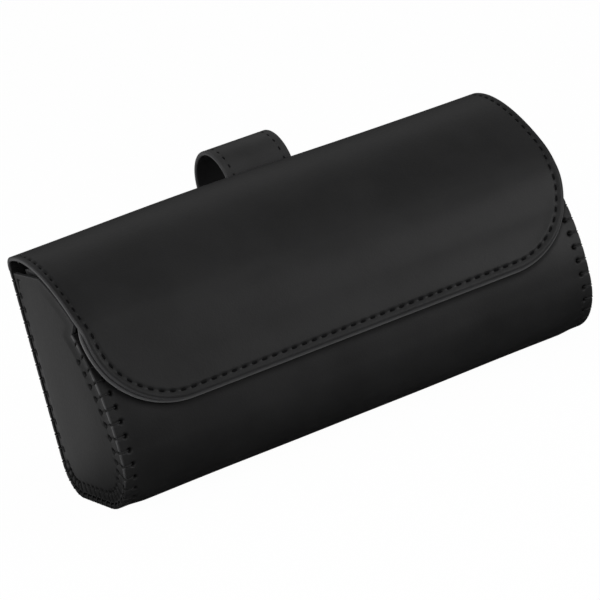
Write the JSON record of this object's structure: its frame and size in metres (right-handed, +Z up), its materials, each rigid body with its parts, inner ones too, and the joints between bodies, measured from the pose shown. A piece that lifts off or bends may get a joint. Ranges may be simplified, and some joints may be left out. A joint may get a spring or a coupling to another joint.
{
  "type": "leather spectacle case",
  "caption": "Hard-sided leather spectacle case with sewn end gussets, a curved flap held by hidden magnets, and a strap loop on the back that opens at a press stud.",
  "frame": {"origin": "centre of the flat bottom that the case stands on", "axes": "+X along the case to the right as seen from the front, -Y to the front with the flap's edge, +Z up"},
  "size_m": [0.1714, 0.0799, 0.0858],
  "materials": {
    "black_leather": "smooth black leather, semi-matt, with burnished edges",
    "suede_lining": "dark grey suede cloth, matt",
    "fibreboard": "brown fibreboard, matt",
    "sewing_thread": "black waxed thread, matt",
    "nickel_stud": "nickel plated brass, polished",
    "magnet_plating": "nickel plated magnet, polished",
    "keeper_steel": "plain sheet steel"
  },
  "bodies": {
    "case": {"outer_wrap": "black_leather", "left_gusset": "black_leather", "right_gusset": "black_leather", "wrap_lining": "suede_lining", "left_gusset_lining": "suede_lining", "right_gusset_lining": "suede_lining", "wrap_board": "fibreboard", "left_gusset_board": "fibreboard", "right_gusset_board": "fibreboard", "left_seam_thread": "sewing_thread", "right_seam_thread": "sewing_thread", "left_keeper": "keeper_steel", "right_keeper": "keeper_steel", "strap_anchor": "black_leather", "stud_post": "nickel_stud", "stud_ball": "nickel_stud"},
    "flap": {"flap_leather": "black_leather", "flap_lining": "suede_lining", "flap_fold": "black_leather", "left_magnet": "magnet_plating", "right_magnet": "magnet_plating"},
    "strap_tail": {"strap_tail": "black_leather", "stud_socket": "nickel_stud", "stud_cap": "nickel_stud"}
  },
  "joints": [
    {"name": "flap_hinge", "type": "hinge", "parent": "case", "child": "flap", "pos_m": [0, 0.01705, 0.0746], "axis": [-1, 0, 0], "range_deg": [0, 100], "deforming": ["flap_fold"]},
    {"name": "strap_hinge", "type": "hinge", "parent": "case", "child": "strap_tail", "pos_m": [0.0061, 0.04605, 0.071], "axis": [1, 0, 0], "range_deg": [0, 100]}
  ]
}
